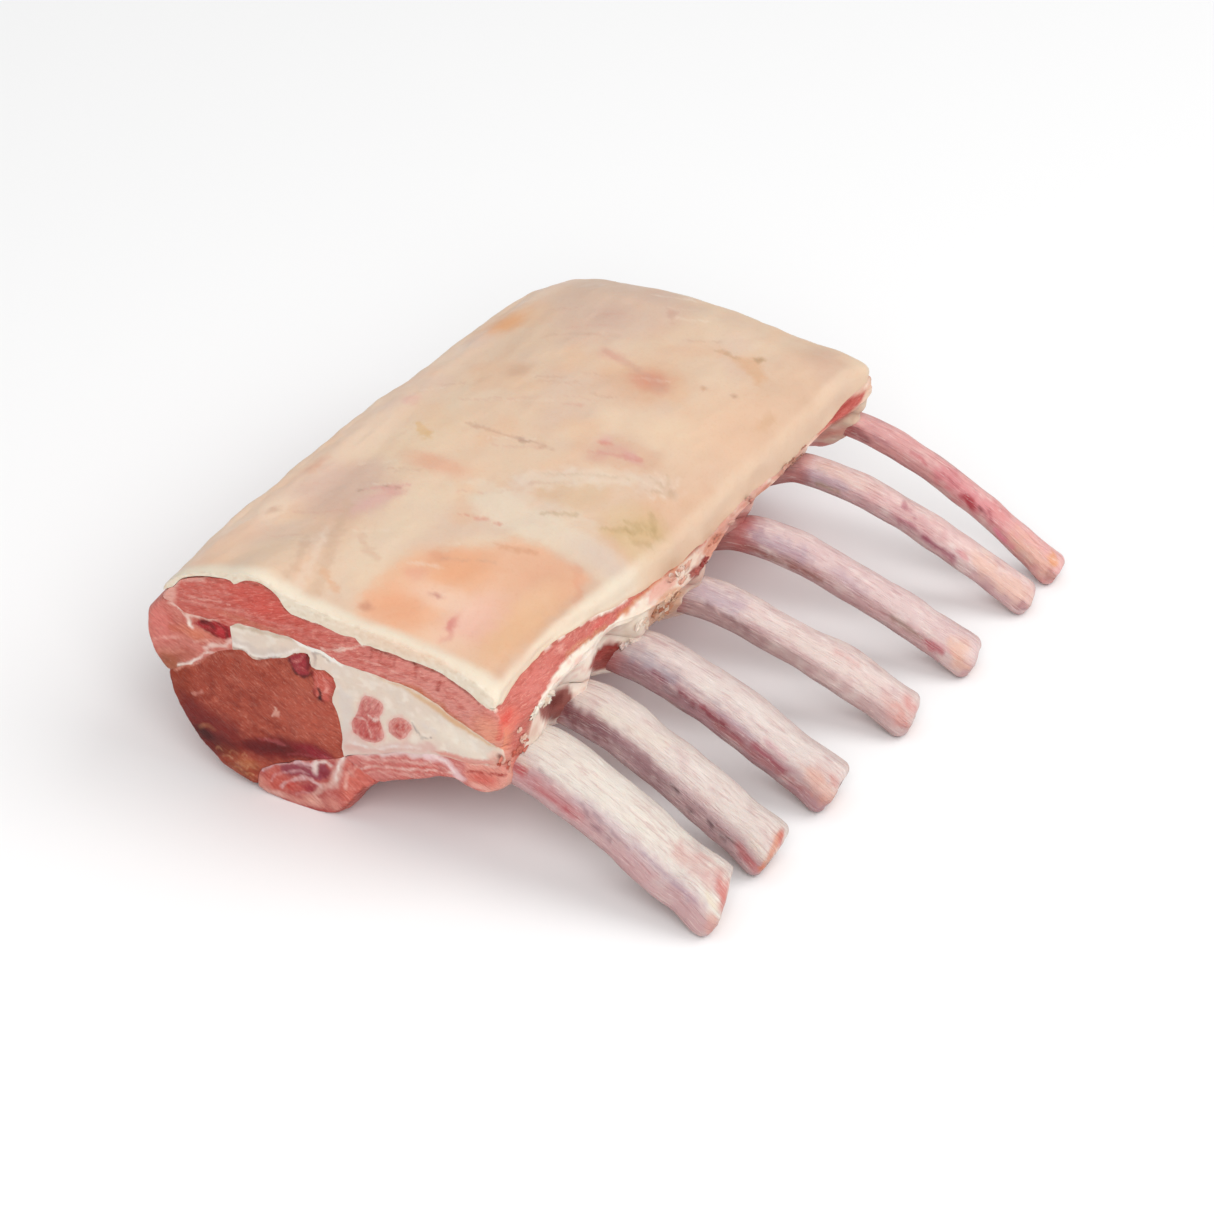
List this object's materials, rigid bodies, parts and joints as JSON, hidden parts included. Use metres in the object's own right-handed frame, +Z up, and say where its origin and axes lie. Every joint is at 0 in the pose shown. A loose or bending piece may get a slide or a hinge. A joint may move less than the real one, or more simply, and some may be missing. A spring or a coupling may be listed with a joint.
{
  "type": "rack of lamb",
  "caption": "Raw frenched rack of lamb lying fat side up: a long fat-capped loin with a cut face at each end and a row of curved bare ribs along one side.",
  "frame": {"origin": "centre of the bounding box, on the surface that the rack lies on", "axes": "+Z up, away from the bone side; +Y along the backbone, from the shoulder end to the loin end; +X across it, towards the rib tips"},
  "size_m": [0.154, 0.183, 0.0598],
  "materials": {
    "cap_fat": "moist, smooth, softly glossy outer fat, cream with peach and pink patches",
    "seam_fat": "moist off-white fat, finely ribbed where it was cut",
    "cap_lean": "moist cut muscle, rose red, with fine pale fibres",
    "spine_lean": "moist cut muscle, rose red, with pale streaks",
    "eye_lean": "moist cut muscle, brown red with a crimson lower side and fine pale fibres",
    "chine_lean": "moist cut muscle, rose red, with curved white streaks",
    "rib_lean": "moist cut muscle, pink, under a thin bluish-white membrane",
    "strip_lean": "moist cut muscle, pale pink",
    "bone": "moist bare bone, cream pink with mauve sides and dark red streaks"
  },
  "bodies": {
    "root": {"fat_cap": "cap_fat", "cap_muscle": "cap_lean", "spine_muscle": "spine_lean", "seam_fat": "seam_fat", "eye_muscle": "eye_lean", "chine_meat": "chine_lean", "rib_meat": "rib_lean", "lean_strip_inner": "strip_lean", "lean_strip_outer": "strip_lean", "rib_1": "bone", "rib_2": "bone", "rib_3": "bone", "rib_4": "bone", "rib_5": "bone", "rib_6": "bone", "rib_7": "bone"}
  },
  "joints": []
}
